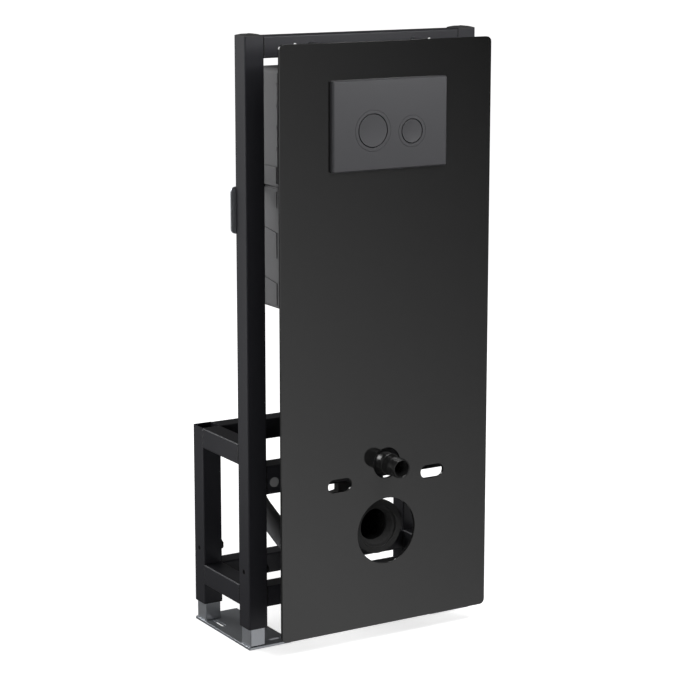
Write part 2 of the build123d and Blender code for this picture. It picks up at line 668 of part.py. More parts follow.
def waste_clamp():
    """Hanger under the middle crossbar that holds the waste bend."""
    y_low = at_depth(CLAMP_FRONT)
    y_high = y_low + CLAMP_DEPTH
    bore = WASTE_DIA / 2 + SOCKET_SLACK
    outer = bore + CLAMP_THICK
    ring = Pos(0, y_high, WASTE_HEIGHT) * Rot(90, 0, 0) * extrude(Circle(outer), CLAMP_DEPTH)
    hanger = block(-outer, outer, y_low, y_high, WASTE_HEIGHT, MID_BAR_TOP - MID_BAR_HEIGHT)
    return ring + hanger - rod_along_y(y_low - CUT, y_high + CUT, 0, WASTE_HEIGHT, 2 * bore)


def inlet_x():
    return INLET_INSET + TUBE - HALF


def inlet_pipe():
    """Grey side inlet: down beside the left post, then slanting in to the waste bend."""
    y = at_depth(WASTE_LEG_Y)
    end_x = INLET_SINK - WASTE_DIA / 2
    end_z = WASTE_HEIGHT - INLET_JOIN_DROP
    low_x = end_x - INLET_LOW_REACH
    low_z = end_z + INLET_LOW_REACH / tan(radians(INLET_LOW_ANGLE))
    turn_z = low_z + (low_x - inlet_x()) / tan(radians(INLET_ANGLE))
    points = [(end_x, y, end_z), (low_x, y, low_z), (inlet_x(), y, turn_z), (inlet_x(), y, INLET_TOP)]
    pipe = bend_pipe(points, INLET_BENDS, INLET_DIA, INLET_WALL)
    return pipe - Pos(0, y, end_z) * Cylinder(WASTE_DIA / 2 + FIT_GAP, 4 * INLET_DIA)


def inlet_clip():
    """Clip on the left upper side arm that holds the side inlet."""
    y = at_depth(WASTE_LEG_Y)
    z = REAR_LEG_TOP - TUBE / 2 - INLET_CLIP_HEIGHT / 2
    bore = INLET_DIA / 2 + FIT_GAP
    outer = bore + INLET_CLIP_THICK
    tongue_half = INLET_CLIP_HEIGHT / 2
    clip = extrude(Pos(inlet_x(), y) * Circle(outer), INLET_CLIP_HEIGHT)
    clip += block(TUBE - HALF, inlet_x(), y - tongue_half, y + tongue_half, 0, INLET_CLIP_HEIGHT)
    clip -= extrude(Pos(inlet_x(), y) * Circle(bore), INLET_CLIP_HEIGHT)
    return Pos(0, 0, z) * clip


# Panel and flush plate

def front_panel():
    """Glass sheet with its stud slots, flush and waste holes and the shaft's cut-out."""
    z_mid = (PANEL_TOP + PANEL_BOTTOM) / 2
    outline = RectangleRounded(PANEL_WIDTH, PANEL_TOP - PANEL_BOTTOM, PANEL_CORNER)
    slot = SlotOverall(SLOT_LENGTH, SLOT_HEIGHT)
    for sign in (-1, 1):
        outline -= Pos(sign * SLOT_SPACING / 2, STUD_HEIGHT - z_mid) * slot
    outline -= Pos(0, FLUSH_HEIGHT - z_mid) * Circle(SLEEVE_DIA / 2 + FLUSH_HOLE_CLEAR)
    outline -= Pos(0, WASTE_HEIGHT - z_mid) * Circle(COLLAR_DIA / 2 + WASTE_HOLE_CLEAR)
    outline -= Pos(0, PLATE_MID - z_mid) * Rectangle(SHAFT_WIDTH, SHAFT_HEIGHT)
    return Pos(0, at_depth(-PANEL_STANDOFF), z_mid) * Rot(90, 0, 0) * extrude(outline, PANEL_THICK)


def spacer(x, z, diameter, flange):
    """A round standoff from a crossbar to the back of the panel."""
    front = at_depth(-PANEL_STANDOFF)
    back = at_depth(0)
    post = rod_along_y(front, back, x, z, diameter)
    pad = rod_along_y(front, front + SPACER_PAD, x, z, diameter + 2 * flange)
    foot = rod_along_y(back - SPACER_PAD, back, x, z, diameter + 2 * flange)
    return post + pad + foot


def panel_spacers():
    spacers = []
    for side in SIDES.values():
        spacers.append(spacer(side * TOP_SPACER_X, POST_TOP - TUBE / 2, TOP_SPACER_DIA,
                              TOP_SPACER_FLANGE))
        for z in (MID_BAR_TOP - MID_BAR_HEIGHT / 2, LOWER_BAR_BOTTOM + TUBE / 2):
            x = plug_x(side) - side * SPACER_INSET
            spacers.append(spacer(x, z, SPACER_DIA, SPACER_FLANGE))
    return Compound(spacers)


def access_shaft():
    """The open box between the tank and the panel, behind the flush plate."""
    back = at_depth(CISTERN_FRONT)
    width = SHAFT_WIDTH - 2 * SHAFT_GAP
    height = SHAFT_HEIGHT - 2 * SHAFT_GAP
    walls = Rectangle(width, height) - Rectangle(width - 2 * SHAFT_WALL, height - 2 * SHAFT_WALL)
    walls = extrude(walls, back - at_depth(PANEL_FRONT))
    return Pos(0, back, PLATE_MID) * Rot(90, 0, 0) * walls


def plate_carrier():
    """Moulded sheet inside the shaft that holds the plate and guides the push rods."""
    y_low = at_depth(PANEL_FRONT + CARRIER_SETBACK)
    y_high = y_low + CARRIER_THICK
    edge = SHAFT_GAP + SHAFT_WALL + FIT_GAP
    half_w = SHAFT_WIDTH / 2 - edge
    half_h = SHAFT_HEIGHT / 2 - edge
    sheet = block(-half_w, half_w, y_low, y_high, PLATE_MID - half_h, PLATE_MID + half_h)
    for x, z, _ in (LARGE_BUTTON, SMALL_BUTTON):
        sheet -= rod_along_y(y_low - CUT, y_high + CUT, x, z, PUSH_ROD_DIA + 2 * PUSH_ROD_CLEAR)
    return sheet


def flush_plate():
    """Hollow bevelled plate with a guide ring behind each button's hole."""
    front = at_depth(PANEL_FRONT - PLATE_PROUD)
    back = at_depth(PANEL_FRONT)
    outline = RectangleRounded(PLATE_WIDTH, PLATE_HEIGHT, PLATE_CORNER)
    body = Pos(0, back, PLATE_MID) * Rot(90, 0, 0) * extrude(outline, PLATE_PROUD)
    body = chamfer(body.faces().sort_by(Axis.Y)[0].edges(), PLATE_BEVEL)
    half_w = PLATE_WIDTH / 2 - PLATE_RETURN
    half_h = PLATE_HEIGHT / 2 - PLATE_RETURN
    body -= block(-half_w, half_w, front + PLATE_SKIN, back + CUT, PLATE_MID - half_h, PLATE_MID + half_h)
    for x, z, diameter in (LARGE_BUTTON, SMALL_BUTTON):
        skin_back = front + PLATE_SKIN
        opening = diameter + 2 * BUTTON_GAP
        body += rod_along_y(skin_back, skin_back + BUTTON_GUIDE, x, z, opening + 2 * PLATE_SKIN)
        body -= rod_along_y(front - CUT, back + CUT, x, z, opening)
    return body


def push_button(x, z, diameter):
    """A slightly dished round button with its push rod."""
    front = at_depth(PANEL_FRONT - PLATE_PROUD)
    back = front + BUTTON_THICK
    disc = rod_along_y(front, back, x, z, diameter)
    sphere_r = (diameter * diameter / 4 + BUTTON_DISH * BUTTON_DISH) / (2 * BUTTON_DISH)
    disc -= Pos(x, front + BUTTON_DISH - sphere_r, z) * Sphere(sphere_r)
    return disc + rod_along_y(back - CUT, front + PUSH_ROD_LENGTH, x, z, PUSH_ROD_DIA)


def all_parts():
    y_post = at_depth(TUBE / 2)
    y_leg = at_depth(FRAME_DEPTH - TUBE / 2)
    low_bar = LOWER_BAR_BOTTOM + TUBE / 2
    leg_bar = REAR_LEG_TOP - TUBE / 2
    parts = {
        "top_crossbar": top_crossbar(),
        "mid_crossbar": mid_crossbar(),
        "lower_front_crossbar": crossbar(y_post, low_bar),
        "rear_top_crossbar": crossbar(y_leg, leg_bar),
        "rear_lower_crossbar": crossbar(y_leg, low_bar),
        "cistern_lower": cistern_lower(),
        "cistern_upper": cistern_upper(),
        "flush_pipe": flush_pipe(),
        "flush_connector": flush_connector(),
        "flush_seal": flush_seal(),
        "waste_bend": waste_bend(),
        "waste_collar": waste_collar(),
        "waste_clamp": waste_clamp(),
        "inlet_pipe": inlet_pipe(),
        "inlet_clip": inlet_clip(),
        "stud_plugs": Compound([stud_plug(side) for side in SIDES.values()]),
        "panel_spacers": panel_spacers(),
        "front_panel": front_panel(),
        "access_shaft": access_shaft(),
        "plate_carrier": plate_carrier(),
        "flush_plate": flush_plate(),
        "large_button": push_button(*LARGE_BUTTON),
        "small_button": push_button(*SMALL_BUTTON),
    }
    for name, side in SIDES.items():
        parts[name + "_post"] = upright(side, y_post, POST_TOP)
        parts[name + "_rear_leg"] = upright(side, y_leg, REAR_LEG_TOP)
        parts[name + "_post_cap"] = post_cap(side)
        parts[name + "_upper_arm"] = side_arm(side, leg_bar)
        parts[name + "_lower_arm"] = side_arm(side, low_bar)
        parts[name + "_wall_plate"] = wall_plate(side)
        parts[name + "_cistern_hook"] = cistern_hook(side)
        parts[name + "_base_plate"] = base_plate(side)
        parts[name + "_front_foot"] = foot_tube(side, y_post)
        parts[name + "_rear_foot"] = foot_tube(side, y_leg)
        parts[name + "_lock_bolts"] = Compound([lock_bolt(side, y_post), lock_bolt(side, y_leg)])
    return parts


os.makedirs("parts", exist_ok=True)
for node, shape in all_parts().items():
    export_step(shape, os.path.join("parts", node + ".step"))
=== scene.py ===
# %% [markdown]
# A floor-standing steel frame carries a tank, a waste bend and a tall black glass panel, and a
# wall-hung toilet is bolted to it through the panel. The solids come from the imported part, so
# this lesson only dresses them: finishes, softened edges, painted shade in the side holes, ribs,
# welds, light and camera.

# %% Load the imported frame
import bmesh
import bpy
import json
from math import cos, pi, radians, sin
from mathutils import Matrix, Vector


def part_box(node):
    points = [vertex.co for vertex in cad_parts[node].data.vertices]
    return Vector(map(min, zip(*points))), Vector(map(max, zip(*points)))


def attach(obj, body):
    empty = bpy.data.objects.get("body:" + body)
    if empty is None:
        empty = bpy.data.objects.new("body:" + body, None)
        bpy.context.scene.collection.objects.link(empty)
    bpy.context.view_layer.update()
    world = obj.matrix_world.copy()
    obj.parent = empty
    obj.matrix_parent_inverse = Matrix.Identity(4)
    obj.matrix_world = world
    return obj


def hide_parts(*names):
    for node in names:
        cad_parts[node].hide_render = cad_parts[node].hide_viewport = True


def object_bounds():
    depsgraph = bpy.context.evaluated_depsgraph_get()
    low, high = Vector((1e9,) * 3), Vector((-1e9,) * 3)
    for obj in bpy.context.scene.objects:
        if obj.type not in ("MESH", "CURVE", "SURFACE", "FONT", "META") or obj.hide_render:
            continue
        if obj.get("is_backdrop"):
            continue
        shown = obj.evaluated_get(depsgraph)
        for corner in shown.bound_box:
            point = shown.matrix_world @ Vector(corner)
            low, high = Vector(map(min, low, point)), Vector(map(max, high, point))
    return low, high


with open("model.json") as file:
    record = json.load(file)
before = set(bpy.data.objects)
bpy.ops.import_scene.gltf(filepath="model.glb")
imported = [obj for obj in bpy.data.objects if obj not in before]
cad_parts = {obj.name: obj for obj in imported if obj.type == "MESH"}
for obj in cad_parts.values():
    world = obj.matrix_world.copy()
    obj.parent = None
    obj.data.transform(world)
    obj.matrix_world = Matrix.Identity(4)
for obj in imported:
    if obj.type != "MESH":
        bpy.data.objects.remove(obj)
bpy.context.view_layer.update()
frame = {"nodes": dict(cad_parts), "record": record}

nodes = frame["nodes"]
record = frame["record"]
slot_of = {row["node"]: row["material_slot"] for row in record["subparts"]}
body_of = {name: body for body, names in record["behaviour"]["bodies"].items() for name in names}

# %% [markdown]
# A new Blender file opens with a cube, a lamp and a camera of its own. They would show beside
# the frame, so they go first.

# %% Clear the start-up objects
for name in ("Cube", "Light", "Camera"):
    if name in bpy.data.objects:
        bpy.data.objects.remove(bpy.data.objects[name])

# %% [markdown]
# A node group is a small machine that several materials can share. Each group here puts out
# only colours, masks or heights that change over the surface. A helper makes the group's
# sockets, which in this version of Blender belong to the group's interface.

# %% Helpers for node groups
MM = 0.001


def start_group(name, inputs, outputs):
    """A shader group with float inputs {name: value} and outputs {name: socket type}."""
    group = bpy.data.node_groups.new(name, "ShaderNodeTree")
    for label, value in inputs.items():
        socket = group.interface.new_socket(label, in_out="INPUT", socket_type="NodeSocketFloat")
        socket.default_value = value
    for label, kind in outputs.items():
        group.interface.new_socket(label, in_out="OUTPUT", socket_type=kind)
    return group, group.nodes.new("NodeGroupInput"), group.nodes.new("NodeGroupOutput")


def wire(tree, *pairs):
    """Links (node, output name) to (node, input name), two by two."""
    for (source, out_name), (target, in_name) in zip(pairs[::2], pairs[1::2]):
        tree.links.new(source.outputs[out_name], target.inputs[in_name])


def ramp_between(tree, low, high, to_low=0.0, to_high=1.0):
    """A Map Range node from low..high to to_low..to_high."""
    node = tree.nodes.new("ShaderNodeMapRange")
    node.inputs["From Min"].default_value = low
    node.inputs["From Max"].default_value = high
    node.inputs["To Min"].default_value = to_low
    node.inputs["To Max"].default_value = to_high
    return node


# %% [markdown]
# Powder coat and moulded plastic both have a skin that isn't flat. Under a lamp it breaks a
# highlight into fine grains. Two noises make it: a coarse one for the slow waves of the
# sprayed layer and a fine one for the grains. The height feeds a Bump node in each material.

# %% A shared group for sprayed and moulded skins
skin, skin_in, skin_out = start_group(
    "skin_grain", {"Grain Size": 1.2 * MM, "Wave Size": 12 * MM, "Wave Share": 0.35},
    {"Height": "NodeSocketFloat"})
coordinates = skin.nodes.new("ShaderNodeTexCoord")
heights = []
for label in ("Grain Size", "Wave Size"):
    count = skin.nodes.new("ShaderNodeMath")
    count.operation = "DIVIDE"
    count.inputs[0].default_value = 1.0
    noise = skin.nodes.new("ShaderNodeTexNoise")
    noise.inputs["Detail"].default_value = 2.0
    skin.links.new(skin_in.outputs[label], count.inputs[1])
    wire(skin, (coordinates, "Object"), (noise, "Vector"), (count, "Value"), (noise, "Scale"))
    heights.append(noise)
blend = skin.nodes.new("ShaderNodeMix")
wire(skin, (skin_in, "Wave Share"), (blend, "Factor"))
skin.links.new(heights[0].outputs["Fac"], blend.inputs["A"])
skin.links.new(heights[1].outputs["Fac"], blend.inputs["B"])
skin.links.new(blend.outputs["Result"], skin_out.inputs["Height"])
print("skin_grain has", len(skin.nodes), "nodes")

# %% [markdown]
# Faces that look up keep a little dust, and faces that are handled keep faint smears. Both are
# masks between 0 and 1: the dust reads how far the surface faces up, the smears are a stretched
# noise. Each material decides how much of either it shows.

# %% A shared group for dust and smears
film, film_in, film_out = start_group(
    "dust_and_smears", {"Smear Size": 0.12, "Dust": 0.5, "Smears": 0.5},
    {"Dust Mask": "NodeSocketFloat", "Smear Mask": "NodeSocketFloat"})
place = film.nodes.new("ShaderNodeTexCoord")
facing = film.nodes.new("ShaderNodeNewGeometry")
split = film.nodes.new("ShaderNodeSeparateXYZ")
upward = ramp_between(film, 0.55, 0.98)
speckle = film.nodes.new("ShaderNodeTexNoise")
speckle.inputs["Scale"].default_value = 90.0
speckle.inputs["Detail"].default_value = 5.0
patchy = ramp_between(film, 0.35, 0.75)
amount = film.nodes.new("ShaderNodeMath")
amount.operation = "MULTIPLY"
dusted = film.nodes.new("ShaderNodeMath")
dusted.operation = "MULTIPLY"
per_metre = film.nodes.new("ShaderNodeMath")
per_metre.operation = "DIVIDE"
per_metre.inputs[0].default_value = 1.0
wipe = film.nodes.new("ShaderNodeTexNoise")
wipe.inputs["Detail"].default_value = 4.0
wipe.inputs["Distortion"].default_value = 1.2
wiped = ramp_between(film, 0.42, 0.78)
smeared = film.nodes.new("ShaderNodeMath")
smeared.operation = "MULTIPLY"
wire(film, (facing, "Normal"), (split, "Vector"), (split, "Z"), (upward, "Value"),
     (place, "Object"), (speckle, "Vector"), (speckle, "Fac"), (patchy, "Value"),
     (place, "Object"), (wipe, "Vector"), (per_metre, "Value"), (wipe, "Scale"),
     (wipe, "Fac"), (wiped, "Value"))
film.links.new(upward.outputs["Result"], amount.inputs[0])
film.links.new(patchy.outputs["Result"], amount.inputs[1])
film.links.new(amount.outputs["Value"], dusted.inputs[0])
film.links.new(film_in.outputs["Dust"], dusted.inputs[1])
film.links.new(dusted.outputs["Value"], film_out.inputs["Dust Mask"])
film.links.new(film_in.outputs["Smear Size"], per_metre.inputs[1])
film.links.new(wiped.outputs["Result"], smeared.inputs[0])
film.links.new(film_in.outputs["Smears"], smeared.inputs[1])
film.links.new(smeared.outputs["Value"], film_out.inputs["Smear Mask"])
print("dust_and_smears has", len(film.nodes), "nodes")

# %% [markdown]
# Most finishes here are one recipe with other numbers: a colour that dust lightens, a roughness
# that smears change, and the skin's height through a Bump node. One function mixes them, so a
# reader can compare the finishes by their numbers alone: grain and wave are sizes, share says how
# much of the height the waves have, and bump is that height. The shader stays in the material, and
# what is the same all over is set on the shader's own sockets.


# %% The recipe for a finish
def new_material(name):
    """An empty material with its node tree and its shader."""
    material = bpy.data.materials.new(name)
    material.use_nodes = True
    return material, material.node_tree, material.node_tree.nodes["Principled BSDF"]


def bumpy_skin(tree, shader, grain, wave, share, bump):
    """Feeds the height of the shared skin to a shader's normal."""
    grainy = tree.nodes.new("ShaderNodeGroup")
    grainy.node_tree = skin
    grainy.inputs["Grain Size"].default_value = grain
    grainy.inputs["Wave Size"].default_value = wave
    grainy.inputs["Wave Share"].default_value = share
    bumps = tree.nodes.new("ShaderNodeBump")
    bumps.inputs["Strength"].default_value = 1.0
    bumps.inputs["Distance"].default_value = bump
    wire(tree, (grainy, "Height"), (bumps, "Height"), (bumps, "Normal"), (shader, "Normal"))


def finish_of(name, colour, dusty, rough, smeary, grain, wave, share, bump, dust, smears):
    """A material from a colour, a roughness and the two shared groups."""
    material, tree, shader = new_material(name)
    bumpy_skin(tree, shader, grain, wave, share, bump)
    filmy = tree.nodes.new("ShaderNodeGroup")
    filmy.node_tree = film
    filmy.inputs["Dust"].default_value = dust
    filmy.inputs["Smears"].default_value = smears
    colours = tree.nodes.new("ShaderNodeMix")
    colours.data_type = "RGBA"
    colours.inputs["A"].default_value = (*colour, 1.0)
    colours.inputs["B"].default_value = (*dusty, 1.0)
    roughs = tree.nodes.new("ShaderNodeMix")
    roughs.inputs["A"].default_value = rough
    roughs.inputs["B"].default_value = smeary
    wire(tree, (filmy, "Dust Mask"), (colours, "Factor"),
         (filmy, "Smear Mask"), (roughs, "Factor"))
    tree.links.new(colours.outputs["Result"], shader.inputs["Base Color"])
    tree.links.new(roughs.outputs["Result"], shader.inputs["Roughness"])
    return material, shader


# %% [markdown]
# The frame is black powder coat: a sprayed, baked layer with a satin sheen and a very fine
# orange peel. The caps are duller black plastic, and the bolts are bare steel.

# %% Black finishes of the frame
frame_steel, _ = finish_of(
    "frame_steel", (0.0040, 0.0040, 0.0043), dusty=(0.012, 0.012, 0.012), rough=0.22, smeary=0.28,
    grain=1.1 * MM, wave=9 * MM, share=0.4, bump=0.05 * MM, dust=0.35, smears=0.6)
cap_plastic, _ = finish_of(
    "cap_plastic", (0.014, 0.014, 0.015), dusty=(0.07, 0.07, 0.07), rough=0.42, smeary=0.5,
    grain=0.6 * MM, wave=20 * MM, share=0.2, bump=0.05 * MM, dust=0.5, smears=0.4)
bolt_steel, shader = finish_of(
    "bolt_steel", (0.30, 0.30, 0.31), dusty=(0.2, 0.2, 0.2), rough=0.22, smeary=0.4,
    grain=0.5 * MM, wave=6 * MM, share=0.5, bump=0.03 * MM, dust=0.3, smears=0.8)
shader.inputs["Metallic"].default_value = 1.0
print("made", frame_steel.name, cap_plastic.name, bolt_steel.name)

# %% [markdown]
# The tank is moulded in dark grey plastic with a slight sheen. The flush connector and the
# waste bend are glossy black plastic, the collar and the seal are black rubber, and the side
# inlet is a lighter grey pipe.

# %% Plastics and rubber
finish_of(
    "tank_plastic", (0.056, 0.057, 0.060), dusty=(0.10, 0.10, 0.10), rough=0.33, smeary=0.46,
    grain=0.9 * MM, wave=30 * MM, share=0.3, bump=0.08 * MM, dust=0.4, smears=0.5)
finish_of(
    "flush_plastic", (0.002, 0.002, 0.0022), dusty=(0.01, 0.01, 0.01), rough=0.06, smeary=0.10,
    grain=0.8 * MM, wave=20 * MM, share=0.7, bump=0.01 * MM, dust=0.2, smears=0.5)
finish_of(
    "waste_plastic", (0.003, 0.003, 0.0033), dusty=(0.02, 0.02, 0.02), rough=0.10, smeary=0.18,
    grain=1 * MM, wave=20 * MM, share=0.6, bump=0.03 * MM, dust=0.5, smears=0.5)
finish_of(
    "seal_rubber", (0.006, 0.006, 0.0065), dusty=(0.02, 0.02, 0.02), rough=0.12, smeary=0.20,
    grain=0.6 * MM, wave=15 * MM, share=0.3, bump=0.04 * MM, dust=0.35, smears=0.6)
finish_of(
    "grey_plastic", (0.52, 0.52, 0.525), dusty=(0.5, 0.5, 0.5), rough=0.28, smeary=0.4,
    grain=0.8 * MM, wave=20 * MM, share=0.4, bump=0.03 * MM, dust=0.3, smears=0.5)
finish_of(
    "shaft_plastic", (0.05, 0.05, 0.05), dusty=(0.09, 0.09, 0.09), rough=0.45, smeary=0.55,
    grain=0.8 * MM, wave=20 * MM, share=0.3, bump=0.05 * MM, dust=0.4, smears=0.4)
print("made", len(bpy.data.materials), "materials so far")

# %% [markdown]
# The panel is black glass: almost no colour of its own and a mirror's polish, with only the
# faintest smears. The flush plate is satin anthracite lacquer, which spreads the light from
# above into a soft patch.

# %% Glass and the flush plate
panel_glass, shader = finish_of(
    "panel_glass", (0.0035, 0.0035, 0.0038), dusty=(0.006, 0.006, 0.006), rough=0.035, smeary=0.06,
    grain=4 * MM, wave=200 * MM, share=1.0, bump=0.0, dust=0.0, smears=0.5)
shader.inputs["IOR"].default_value = 1.5
plate_satin, shader = finish_of(
    "plate_satin", (0.020, 0.020, 0.0204), dusty=(0.05, 0.05, 0.05), rough=0.28, smeary=0.33,
    grain=0.4 * MM, wave=20 * MM, share=0.2, bump=0.02 * MM, dust=0.1, smears=0.4)
print("made", panel_glass.name, plate_satin.name)

# %% [markdown]
# The feet and wall plates are galvanised. Molten zinc freezes in flat crystals, each of which
# reflects a little differently, so a cell pattern changes both the tone and the roughness from
# crystal to crystal. Only the bump comes from the shared recipe.

# %% Galvanised steel
CRYSTALS_PER_METRE = 140.0
DULLEST, BRIGHTEST = (0.11, 0.12, 0.135, 1.0), (0.50, 0.52, 0.55, 1.0)
galvanised, tree, shader = new_material("galvanised")
bumpy_skin(tree, shader, grain=0.8 * MM, wave=10 * MM, share=0.5, bump=0.03 * MM)
where = tree.nodes.new("ShaderNodeTexCoord")
crystals = tree.nodes.new("ShaderNodeTexVoronoi")
crystals.inputs["Scale"].default_value = CRYSTALS_PER_METRE
grey = tree.nodes.new("ShaderNodeSeparateColor")
tones = tree.nodes.new("ShaderNodeMix")
tones.data_type = "RGBA"
tones.inputs["A"].default_value = DULLEST
tones.inputs["B"].default_value = BRIGHTEST
polish = ramp_between(tree, 0.0, 1.0, to_low=0.2, to_high=0.42)
wire(tree, (where, "Object"), (crystals, "Vector"), (crystals, "Color"), (grey, "Color"),
     (grey, "Red"), (tones, "Factor"), (grey, "Green"), (polish, "Value"),
     (polish, "Result"), (shader, "Roughness"))
tree.links.new(tones.outputs["Result"], shader.inputs["Base Color"])
shader.inputs["Metallic"].default_value = 1.0
print("galvanised has", len(tree.nodes), "nodes")

# %% [markdown]
# Every solid names a slot in the record. The materials above are named after the slots, so one
# loop gives each solid its finish without touching its mesh.

# %% Give each solid its finish
for name, solid in nodes.items():
    finish = bpy.data.materials[slot_of[name]]
    if not solid.material_slots:
        solid.data.materials.append(finish)
    solid.material_slots[0].link = "OBJECT"
    solid.material_slots[0].material = finish
print("dressed", len(nodes), "solids")

# %% [markdown]
# A real edge is never sharp: glass is ground, plastic is moulded with a radius, and that narrow
# band catches the light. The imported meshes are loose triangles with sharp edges, so the pieces
# seen closest are copied, merged, bevelled and put in the solid's place.


# %% Softened copies of the pieces seen closest
SAME_POINT, SAME_PLANE = 0.002 * MM, radians(0.4)
SHARP_EDGE, ROUND_STEPS = radians(32), 2


def baked_mesh(piece):
    """The plain mesh that a piece's modifiers make."""
    depsgraph = bpy.context.evaluated_depsgraph_get()
    return bpy.data.meshes.new_from_object(piece.evaluated_get(depsgraph))


def softened(name, width, cutter=None):
    """A bevelled copy of a solid, cut by another mesh where one is given, which replaces it."""
    work = bmesh.new()
    work.from_mesh(nodes[name].data)
    bmesh.ops.remove_doubles(work, verts=work.verts, dist=SAME_POINT)
    bmesh.ops.dissolve_limit(work, angle_limit=SAME_PLANE, verts=work.verts, edges=work.edges)
    mesh = bpy.data.meshes.new(name + "_soft")
    work.to_mesh(mesh)
    work.free()
    mesh.materials.clear()
    mesh.materials.append(bpy.data.materials[slot_of[name]])
    copy = bpy.data.objects.new(name + "_soft", mesh)
    bpy.context.scene.collection.objects.link(copy)
    bevel = copy.modifiers.new("edge", "BEVEL")
    bevel.width = width
    bevel.segments = ROUND_STEPS
    bevel.limit_method = "ANGLE"
    bevel.angle_limit = SHARP_EDGE
    if cutter:
        cut = copy.modifiers.new("grooves", "BOOLEAN")
        cut.operation = "DIFFERENCE"
        cut.solver = "EXACT"
        cut.object = cutter
    mesh.shade_smooth()
    flat = copy.modifiers.new("flat_faces", "WEIGHTED_NORMAL")
    flat.weight = 100
    flat.keep_sharp = True
    baked = baked_mesh(copy)
    copy.modifiers.clear()
    copy.data = baked
    copy.data.name = name + "_soft"
    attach(copy, body_of[name])
    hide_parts(name)
    return copy


soft_edges = {"front_panel": 0.7 * MM, "large_button": 0.5 * MM, "small_button": 0.5 * MM,
              "flush_connector": 0.6 * MM, "waste_collar": 0.6 * MM}
for kind in ("base_plate", "lock_bolts"):
    for side in ("left", "right"):
        soft_edges[f"{side}_{kind}"] = 0.5 * MM
for name, width in soft_edges.items():
    piece = softened(name, width)
    print(piece.name, len(piece.data.polygons), "faces")

# %% [markdown]
# Round each button runs a fine groove in the plate, a real cut that keeps its own shadow. A thin
# V-shaped ring is turned for each button, and the plate's copy is cut with both. The rings are
# only tools, so they are removed again.


# %% The flush plate with its two grooves
def turned_mesh(name, profiles, steps=128):
    """Turns (centre, (radius, distance in front) points) about lines along Y into closed rings."""
    work = bmesh.new()
    for centre, profile in profiles:
        rows = []
        for step in range(steps):
            angle = 2 * pi * step / steps
            rows.append([work.verts.new(centre + Vector((r * cos(angle), -d, r * sin(angle))))
                         for r, d in profile])
        for step in range(steps):
            here, there = rows[step], rows[(step + 1) % steps]
            for spot in range(len(profile)):
                after = (spot + 1) % len(profile)
                work.faces.new((here[spot], here[after], there[after], there[spot]))
    bmesh.ops.remove_doubles(work, verts=work.verts, dist=SAME_POINT)
    spare = [edge for edge in work.edges if not edge.link_faces]
    bmesh.ops.delete(work, geom=spare, context="EDGES")
    bmesh.ops.recalc_face_normals(work, faces=work.faces)
    mesh = bpy.data.meshes.new(name)
    work.to_mesh(mesh)
    work.free()
    return mesh


plate_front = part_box("flush_plate")[0].y
GROOVE_WIDE, GROOVE_DEEP, STAND_OFF = 0.7 * MM, 0.6 * MM, 0.6 * MM
cuts = []
for name, radius in (("large_button", 37.75 * MM), ("small_button", 29.25 * MM)):
    low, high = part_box(name)
    centre = Vector(((low.x + high.x) / 2, plate_front, (low.z + high.z) / 2))
    cuts.append((centre, [(radius - GROOVE_WIDE, STAND_OFF), (radius + GROOVE_WIDE, STAND_OFF),
                          (radius, -GROOVE_DEEP)]))
tool = bpy.data.objects.new("groove_tool", turned_mesh("groove_tool", cuts))
bpy.context.scene.collection.objects.link(tool)
plate = softened("flush_plate", 0.35 * MM, cutter=tool)
bpy.data.objects.remove(tool)
print(plate.name, len(plate.data.polygons), "faces")

# %% [markdown]
# The thread for each lock bolt is drilled through the whole tube, which leaves a hole in its outer
# side. A near-black dish with a dull skin sits in each hole as painted shade, standing for the
# dark inside the tube. It is turned like the grooves' tool, laid along X and kept inside the
# tube's wall, so that the foot slides past behind it.

# %% Painted shade in the posts' side holes
# Painted shade: a near-black, dull finish whose reflection is turned almost off, so each hole
# reads as a dark dot.
plug_rubber, shader = finish_of(
    "plug_rubber", (0.003, 0.003, 0.003), dusty=(0.006, 0.006, 0.006), rough=0.85, smeary=0.95,
    grain=0.5 * MM, wave=10 * MM, share=0.2, bump=0.03 * MM, dust=0.2, smears=0.3)
shader.inputs["Specular IOR Level"].default_value = 0.12
WALL, HOLE, LOCK_HEIGHT = 2.0 * MM, 4.5 * MM, 150.0 * MM
HOLE_SHADE_PROFILE = [(0.0, -1.3 * MM), (HOLE - 1.4 * MM, -1.2 * MM), (HOLE - 1.0 * MM, -0.35 * MM),
        (HOLE - 0.6 * MM, -0.2 * MM), (HOLE - 0.2 * MM, -0.35 * MM), (HOLE - 0.1 * MM, -0.8 * MM),
        (HOLE - 0.1 * MM, -0.95 * WALL), (0.0, -0.95 * WALL)]
# Each side gets a dish in the hole of its post and of its rear leg, painted shade in place of the
# dark inside the tube.
for side, sign in (("left", -1), ("right", 1)):
    middles = []
    for upright in ("_post", "_rear_leg"):
        low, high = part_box(side + upright)
        outer = low.x if sign < 0 else high.x
        middles.append((low.y + high.y) / 2)
    mesh = turned_mesh(side + "_hole_plugs",
                       [(Vector((sign * y, 0.0, LOCK_HEIGHT)), HOLE_SHADE_PROFILE) for y in middles], steps=32)
    turn = Matrix.Rotation(sign * radians(90), 4, "Z")
    mesh.transform(Matrix.Translation((outer, 0.0, 0.0)) @ turn)
    mesh.shade_smooth()
    mesh.materials.append(plug_rubber)
    shade_dishes = bpy.data.objects.new(side + "_hole_plugs", mesh)
    bpy.context.scene.collection.objects.link(shade_dishes)
    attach(shade_dishes, "frame")
    print(shade_dishes.name, [round(value, 4) for value in (*shade_dishes.bound_box[0], *shade_dishes.bound_box[6])])

# %% [markdown]
# Several details are the same ring repeated in a row: the sealing ribs on the connector and the
# ridges inside the rubber collar. Geometry Nodes suit that: one tree with named inputs makes a
# ring from two circles, sets copies out on a line, realises them and gives them a material.
# The result is turned into a plain mesh, so nothing of the tree is left on the piece.


